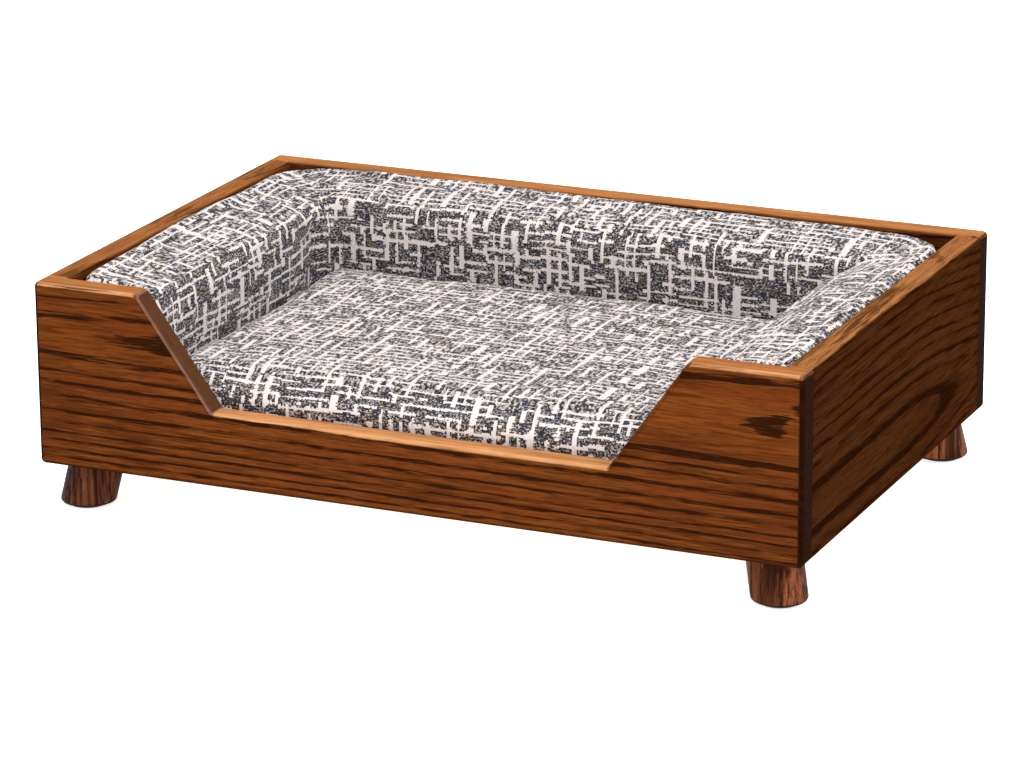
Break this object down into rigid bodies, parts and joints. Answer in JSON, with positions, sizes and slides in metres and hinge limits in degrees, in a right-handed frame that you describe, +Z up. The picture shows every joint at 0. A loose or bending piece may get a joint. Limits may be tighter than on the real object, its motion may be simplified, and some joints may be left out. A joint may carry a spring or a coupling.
{
  "type": "pet lounger",
  "caption": "Low wooden pet bed on short splayed legs, with a stepped-down entry in the front board, a U-shaped upholstered bolster and a lift-out mattress.",
  "frame": {"origin": "on the floor, under the middle of the box", "axes": "+X to the right along the long side, +Y from the entry notch to the back, +Z up"},
  "size_m": [0.6, 0.4, 0.175],
  "materials": {
    "oak_front": "satin",
    "oak_back": "satin",
    "oak_left": "satin",
    "oak_right": "satin",
    "oak_leg": "satin",
    "pine": "matte",
    "plywood": "matte",
    "beech": "matte",
    "glide": "matte",
    "steel": "satin",
    "insert_metal": "satin",
    "tweed": "matte",
    "foam": "matte"
  },
  "bodies": {
    "bed_box": {"front_board": "oak_front", "back_board": "oak_back", "left_board": "oak_left", "right_board": "oak_right", "base_panel": "plywood", "cleat_front": "pine", "cleat_back": "pine", "cleat_left": "pine", "cleat_right": "pine", "corner_block_front_left": "pine", "corner_block_front_right": "pine", "corner_block_back_left": "pine", "corner_block_back_right": "pine", "leg_front_left": "oak_leg", "leg_front_right": "oak_leg", "leg_back_left": "oak_leg", "leg_back_right": "oak_leg", "foot_glide_front_left": "glide", "foot_glide_front_right": "glide", "foot_glide_back_left": "glide", "foot_glide_back_right": "glide", "threaded_inserts": "insert_metal", "hanger_bolts": "steel", "corner_dowels": "beech", "cleat_screws": "steel", "block_screws": "steel", "panel_screws": "steel"},
    "mattress": {"mattress_cover": "tweed", "mattress_foam": "foam"},
    "bolster": {"bolster_cover": "tweed", "bolster_foam_left": "foam", "bolster_foam_back": "foam", "bolster_foam_right": "foam"}
  },
  "joints": [
    {"name": "mattress_lift", "type": "slide", "parent": "bed_box", "child": "mattress", "axis": [0, 0, 1], "range_m": [0, 0.16]},
    {"name": "bolster_lift", "type": "slide", "parent": "bed_box", "child": "bolster", "axis": [0, 0, 1], "range_m": [0, 0.16]}
  ]
}
